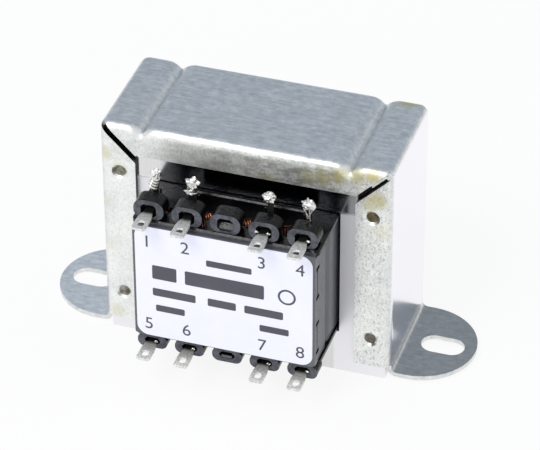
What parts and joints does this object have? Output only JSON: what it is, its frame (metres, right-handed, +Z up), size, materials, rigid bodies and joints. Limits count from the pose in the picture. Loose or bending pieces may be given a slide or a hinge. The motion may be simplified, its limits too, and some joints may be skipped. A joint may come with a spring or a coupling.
{
  "type": "chassis mount transformer",
  "caption": "Laminated core mains transformer in a folded steel clamp with two slotted feet, a moulded coil former and solder tags",
  "frame": {"origin": "midway between the two slots in the feet, on the core's lower face, which it stands on", "axes": "X runs from foot to foot, Z points up from the resting face, minus Y looks at the label and the solder tags"},
  "size_m": [0.0922, 0.0561, 0.0525],
  "materials": {
    "galvanised_steel": "galvanised, mottled, semi gloss",
    "core_steel": "cold rolled silicon steel, satin",
    "former_nylon": "moulded, satin",
    "enamelled_copper": "enamelled wire, gloss",
    "winding_tape": "thin insulating film",
    "wrap_film": "smooth insulating wrap",
    "cover_plastic": "moulded, satin",
    "label_paper": "coated, satin",
    "tinned_brass": "dull tin plate",
    "solder": "bright, lumpy",
    "lead_copper": "enamelled wire, gloss"
  },
  "bodies": {
    "root": {"clamp_frame": "galvanised_steel", "e_sheets_upright": "core_steel", "e_sheets_inverted": "core_steel", "i_sheets_upper": "core_steel", "i_sheets_lower": "core_steel", "coil_former": "former_nylon", "primary_winding": "enamelled_copper", "secondary_winding": "enamelled_copper", "winding_tape": "winding_tape", "coil_wrap": "wrap_film", "front_cover": "cover_plastic", "label": "label_paper", "tag_upper_1": "tinned_brass", "tag_lower_1": "tinned_brass", "tag_upper_2": "tinned_brass", "tag_lower_2": "tinned_brass", "tag_upper_3": "tinned_brass", "tag_lower_3": "tinned_brass", "tag_upper_4": "tinned_brass", "tag_lower_4": "tinned_brass", "solder_upper": "solder", "solder_lower": "solder", "primary_leads": "lead_copper", "secondary_leads": "lead_copper"}
  },
  "joints": []
}
